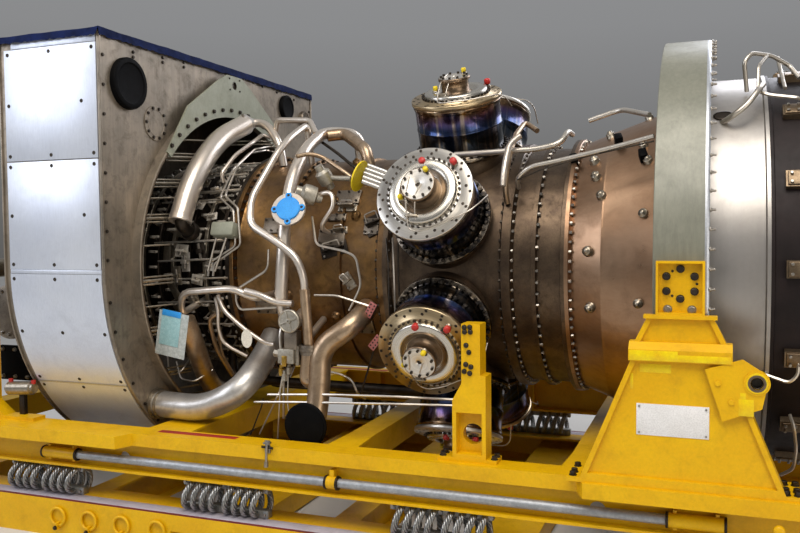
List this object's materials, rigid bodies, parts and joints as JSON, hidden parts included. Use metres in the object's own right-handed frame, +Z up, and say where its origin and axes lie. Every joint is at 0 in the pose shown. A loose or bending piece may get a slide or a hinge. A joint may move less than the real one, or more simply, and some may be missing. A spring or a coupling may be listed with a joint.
{
  "type": "gas turbine on a transport stand",
  "caption": "Industrial gas turbine with radial combustor cans and an inlet plenum, carried on a sprung transport stand with fork pockets.",
  "frame": {"origin": "on the floor under the middle of the stand", "axes": "+X along the engine from inlet to exhaust, +Z up, -Y the side the picture shows"},
  "size_m": [5.7, 2.67, 2.931],
  "materials": {
    "stand_yellow": "gloss enamel, chipped at edges",
    "wire_rope": "galvanised, dull",
    "galvanised": "dull galvanised",
    "trunnion_steel": "machined",
    "ring_primer": "grey-green primer, worn",
    "plenum_steel": "stained sheet steel",
    "panel_aluminium": "bright brushed",
    "cover_sheet": "coated cloth",
    "blank_plastic": "matte",
    "case_steel": "machined, heat stained",
    "case_bronze": "heat tinted to bronze",
    "can_steel": "heat blued",
    "cover_steel": "turned face",
    "cone_steel": "heat tinted to copper",
    "exhaust_steel": "rolled sheet",
    "frame_steel": "dark heat-resisting finish",
    "pad_steel": "machined pads",
    "duct_steel": "polished tube",
    "duct_bronze": "heat tinted tube"
  },
  "bodies": {
    "root": {"base_rails": "stand_yellow", "base_cross_members": "stand_yellow", "fork_tunnels": "stand_yellow", "isolators_near": "wire_rope", "isolators_far": "wire_rope", "upper_rails": "stand_yellow", "upper_cross_members": "stand_yellow", "lashing_rings": "stand_yellow", "side_tubes": "galvanised", "tube_brackets": "stand_yellow", "front_supports": "stand_yellow", "front_trunnions": "trunnion_steel", "middle_supports": "stand_yellow", "trunnion_towers": "stand_yellow", "lifting_lugs": "stand_yellow", "trunnion_brackets": "stand_yellow", "mount_ring": "ring_primer", "plenum_front_plate": "plenum_steel", "plenum_wrap": "plenum_steel", "plenum_rear_plate": "plenum_steel", "side_panels": "panel_aluminium", "top_cover": "cover_sheet", "handling_plate": "ring_primer", "round_blanks": "blank_plastic", "inlet_case": "case_steel", "compressor_case": "case_steel", "vane_rings": "case_steel", "middle_case": "case_bronze", "combustion_case": "case_bronze", "combustor_cans": "can_steel", "can_covers": "cover_steel", "turbine_case": "cone_steel", "turbine_cone": "cone_steel", "exhaust_case": "exhaust_steel", "last_stage_disc": "case_steel", "rear_frame": "frame_steel", "rear_struts": "case_steel", "rear_hub": "case_steel", "frame_pads": "pad_steel", "bleed_duct": "duct_steel", "lower_bleed_duct": "duct_steel", "crossover_duct": "duct_bronze", "manifold_pipe": "duct_steel", "service_pipes": "duct_steel", "duct_blank": "blank_plastic"}
  },
  "joints": []
}
